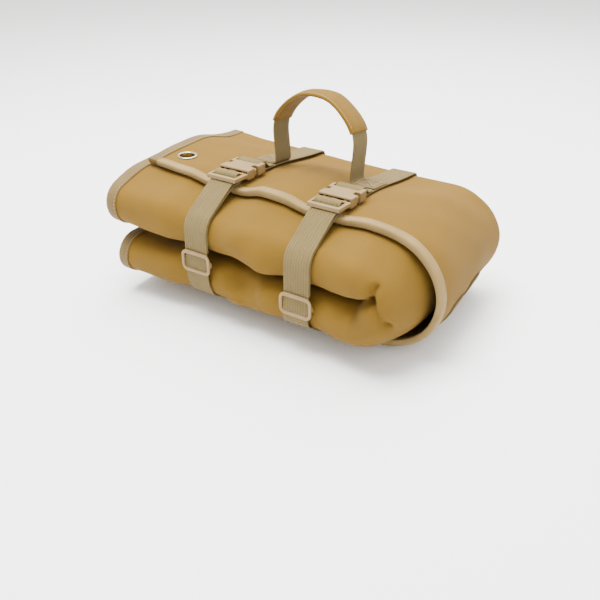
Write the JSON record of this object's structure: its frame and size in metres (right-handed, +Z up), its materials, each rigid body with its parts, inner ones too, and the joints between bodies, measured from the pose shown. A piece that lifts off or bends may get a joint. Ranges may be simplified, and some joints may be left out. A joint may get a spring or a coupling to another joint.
{
  "type": "roll-up tool mat",
  "caption": "Padded canvas roll-up mat with pockets, rolled, folded and held by two webbing straps with side-release buckles, sliders and a carry handle.",
  "frame": {"origin": "middle of the bundle's bounding box, on the surface that it lies on", "axes": "+X along the roll towards its folded end, -Y towards the front with the flap's edge and the sliders, +Z up"},
  "size_m": [0.3266, 0.2036, 0.1914],
  "materials": {
    "canvas": "tightly woven tan canvas, matt",
    "pocket_cloth": "taupe pocket cloth, matt",
    "webbing": "herringbone webbing, matt",
    "binding_tape": "ribbed binding tape, matt",
    "buckle_plastic": "moulded, satin",
    "eyelet_metal": "antique plated"
  },
  "bodies": {
    "root": {"centre_panel": "canvas", "end_binding_flap": "binding_tape", "end_binding_tail": "binding_tape", "eyelet_grommet_flap_lower": "eyelet_metal", "eyelet_grommet_flap_upper": "eyelet_metal", "eyelet_grommet_tail_lower": "eyelet_metal", "eyelet_grommet_tail_upper": "eyelet_metal", "eyelet_washer_flap_lower": "eyelet_metal", "eyelet_washer_flap_upper": "eyelet_metal", "eyelet_washer_tail_lower": "eyelet_metal", "eyelet_washer_tail_upper": "eyelet_metal", "far_pocket_cover_lower": "pocket_cloth", "far_pocket_cover_upper": "pocket_cloth", "far_pocket_divider": "pocket_cloth", "far_pocket_panel": "canvas", "far_seam_tape_back": "binding_tape", "far_seam_tape_front": "binding_tape", "flap_panel": "canvas", "handle_webbing": "webbing", "ladder_strip_back_lower": "webbing", "ladder_strip_back_upper": "webbing", "ladder_strip_front_lower": "webbing", "ladder_strip_front_upper": "webbing", "left_buckle_receptacle": "buckle_plastic", "left_strap": "webbing", "left_strap_end": "webbing", "near_pocket_cover_lower": "pocket_cloth", "near_pocket_cover_upper": "pocket_cloth", "near_pocket_divider": "pocket_cloth", "near_pocket_panel": "canvas", "near_seam_tape_back": "binding_tape", "near_seam_tape_front": "binding_tape", "right_buckle_receptacle": "buckle_plastic", "right_strap": "webbing", "right_strap_end": "webbing", "side_binding_lower": "binding_tape", "side_binding_upper": "binding_tape", "tail_panel": "canvas"},
    "handle": {"handle_grip": "canvas"},
    "left_plug": {"left_buckle_plug": "buckle_plastic"},
    "left_inner_arm": {"left_plug_arm_inner": "buckle_plastic"},
    "left_outer_arm": {"left_plug_arm_outer": "buckle_plastic"},
    "left_slider": {"left_slider": "buckle_plastic"},
    "right_plug": {"right_buckle_plug": "buckle_plastic"},
    "right_inner_arm": {"right_plug_arm_inner": "buckle_plastic"},
    "right_outer_arm": {"right_plug_arm_outer": "buckle_plastic"},
    "right_slider": {"right_slider": "buckle_plastic"}
  },
  "joints": [
    {"name": "left_buckle_release", "type": "slide", "parent": "root", "child": "left_plug", "axis": [0, -1, -0.0004], "range_m": [0, 0.028], "deforming": ["left_strap_end", "left_plug_arm_inner", "left_plug_arm_outer"]},
    {"name": "left_inner_arm_squeeze", "type": "hinge", "parent": "left_plug", "child": "left_inner_arm", "pos_m": [-0.04718, -0.03979, 0.12467], "axis": [0, -0.0004, 1], "range_deg": [0, 7], "stiffness_Nm_per_rad": 0.02},
    {"name": "left_outer_arm_squeeze", "type": "hinge", "parent": "left_plug", "child": "left_outer_arm", "pos_m": [-0.06738, -0.03979, 0.12467], "axis": [0, -0.0004, 1], "range_deg": [-7, 0], "stiffness_Nm_per_rad": 0.02},
    {"name": "left_slider_slide", "type": "slide", "parent": "root", "child": "left_slider", "axis": [0, 0, 1], "range_m": [-0.006, 0.008], "deforming": ["left_strap_end"]},
    {"name": "right_buckle_release", "type": "slide", "parent": "root", "child": "right_plug", "axis": [0, -1, -0.0004], "range_m": [0, 0.028], "deforming": ["right_strap_end", "right_plug_arm_inner", "right_plug_arm_outer"]},
    {"name": "right_inner_arm_squeeze", "type": "hinge", "parent": "right_plug", "child": "right_inner_arm", "pos_m": [0.06082, -0.03979, 0.12131], "axis": [0, -0.0004, 1], "range_deg": [0, 7], "stiffness_Nm_per_rad": 0.02},
    {"name": "right_outer_arm_squeeze", "type": "hinge", "parent": "right_plug", "child": "right_outer_arm", "pos_m": [0.04062, -0.03979, 0.12131], "axis": [0, -0.0004, 1], "range_deg": [-7, 0], "stiffness_Nm_per_rad": 0.02},
    {"name": "right_slider_slide", "type": "slide", "parent": "root", "child": "right_slider", "axis": [0, 0, 1], "range_m": [-0.006, 0.008], "deforming": ["right_strap_end"]},
    {"name": "handle_swing", "type": "hinge", "parent": "root", "child": "handle", "pos_m": [-0.00328, 0.02206, 0.11891], "axis": [1, 0, 0], "range_deg": [-60, 50], "deforming": ["handle_webbing"]}
  ],
  "couplings": [
    {"joint": "left_outer_arm_squeeze", "follows": "left_inner_arm_squeeze", "ratio": -1},
    {"joint": "right_outer_arm_squeeze", "follows": "right_inner_arm_squeeze", "ratio": -1}
  ]
}
